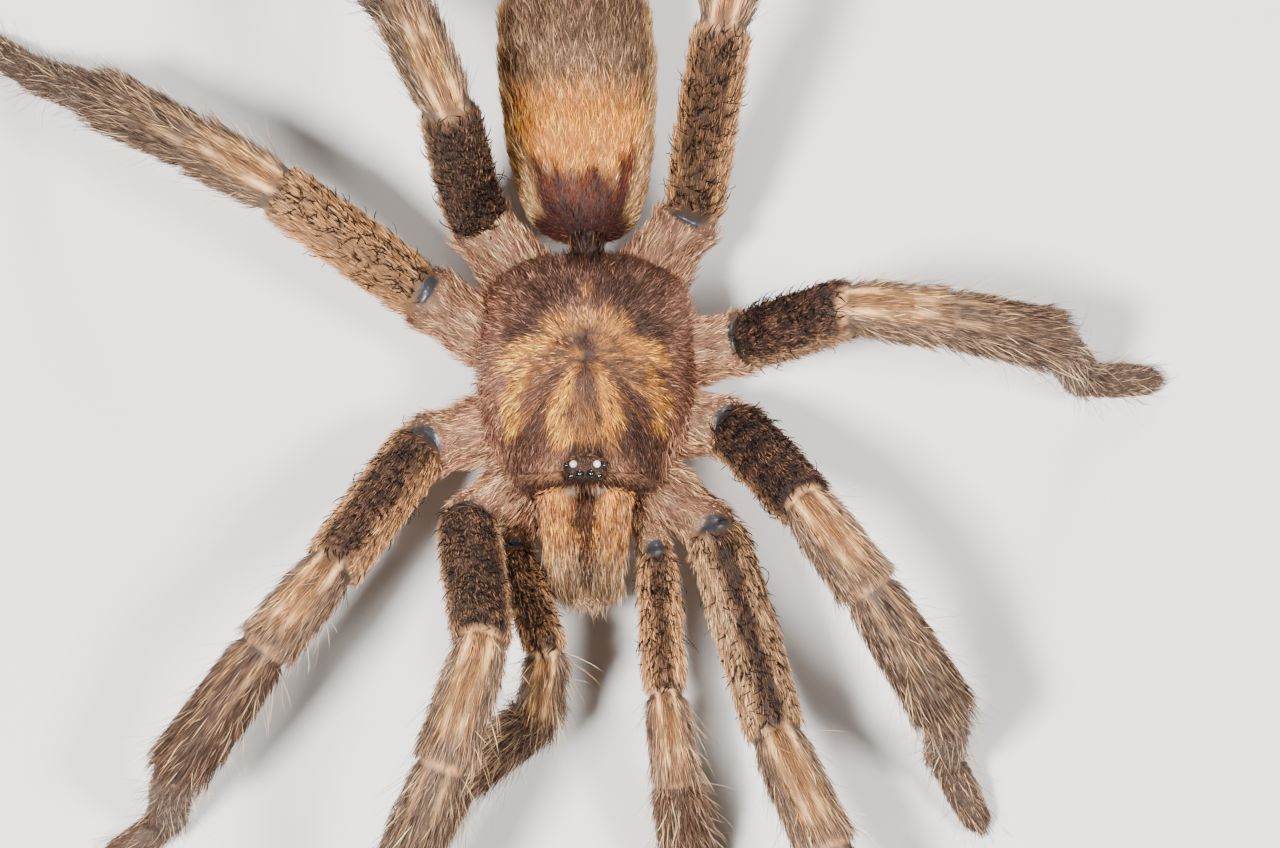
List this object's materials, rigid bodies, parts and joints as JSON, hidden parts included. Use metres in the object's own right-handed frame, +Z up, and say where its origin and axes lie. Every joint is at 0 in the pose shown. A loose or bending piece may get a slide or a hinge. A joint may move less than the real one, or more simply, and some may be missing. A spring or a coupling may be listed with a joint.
{
  "type": "tarantula",
  "caption": "Life-size museum model of a small slender tarantula, standing still on spread hairy legs, with a rayed carapace and a long abdomen.",
  "frame": {"origin": "centre of the bounding box on the floor, between the feet", "axes": "+Y towards the spinnerets, so the head faces -Y; +X towards the spider's left side; +Z up from the floor"},
  "size_m": [0.062, 0.0832, 0.0189],
  "materials": {
    "carapace_coat": "golden and brown short hair in rays",
    "abdomen_coat": "tan and dark brown short hair",
    "chelicera_coat": "golden tan bristles",
    "femur_coat": "dark brown hair with tan sides",
    "knee_coat": "grey tan hair with two cream stripes",
    "shin_coat": "grey tan hair",
    "foot_coat": "grey brown short hair",
    "fang_horn": "glossy near-black horn",
    "eye_dark": "glossy black",
    "eye_pale": "pearly white"
  },
  "bodies": {
    "root": {"prosoma": "carapace_coat", "abdomen": "abdomen_coat", "chelicera_left": "chelicera_coat", "fang_left": "fang_horn", "spinneret_left": "abdomen_coat", "chelicera_right": "chelicera_coat", "fang_right": "fang_horn", "spinneret_right": "abdomen_coat", "eye_front_median_left": "eye_dark", "eye_front_median_right": "eye_dark", "eye_front_side_left": "eye_dark", "eye_front_side_right": "eye_dark", "eye_rear_median_left": "eye_pale", "eye_rear_median_right": "eye_pale", "eye_rear_side_left": "eye_dark", "eye_rear_side_right": "eye_dark", "leg_1_left_femur": "femur_coat", "leg_1_left_patella": "knee_coat", "leg_1_left_tibia": "shin_coat", "leg_1_left_foot": "foot_coat", "leg_1_right_femur": "femur_coat", "leg_1_right_patella": "knee_coat", "leg_1_right_tibia": "shin_coat", "leg_1_right_foot": "foot_coat", "leg_2_left_femur": "femur_coat", "leg_2_left_patella": "knee_coat", "leg_2_left_tibia": "shin_coat", "leg_2_left_foot": "foot_coat", "leg_2_right_femur": "femur_coat", "leg_2_right_patella": "knee_coat", "leg_2_right_tibia": "shin_coat", "leg_2_right_foot": "foot_coat", "leg_3_left_femur": "femur_coat", "leg_3_left_patella": "knee_coat", "leg_3_left_tibia": "shin_coat", "leg_3_left_foot": "foot_coat", "leg_3_right_femur": "femur_coat", "leg_3_right_patella": "knee_coat", "leg_3_right_tibia": "shin_coat", "leg_3_right_foot": "foot_coat", "leg_4_left_femur": "femur_coat", "leg_4_left_patella": "knee_coat", "leg_4_left_tibia": "shin_coat", "leg_4_left_foot": "foot_coat", "leg_4_right_femur": "femur_coat", "leg_4_right_patella": "knee_coat", "leg_4_right_tibia": "shin_coat", "leg_4_right_foot": "foot_coat", "palp_left_femur": "femur_coat", "palp_left_patella": "knee_coat", "palp_left_tip": "foot_coat", "palp_right_femur": "femur_coat", "palp_right_patella": "knee_coat", "palp_right_tip": "foot_coat"}
  },
  "joints": []
}
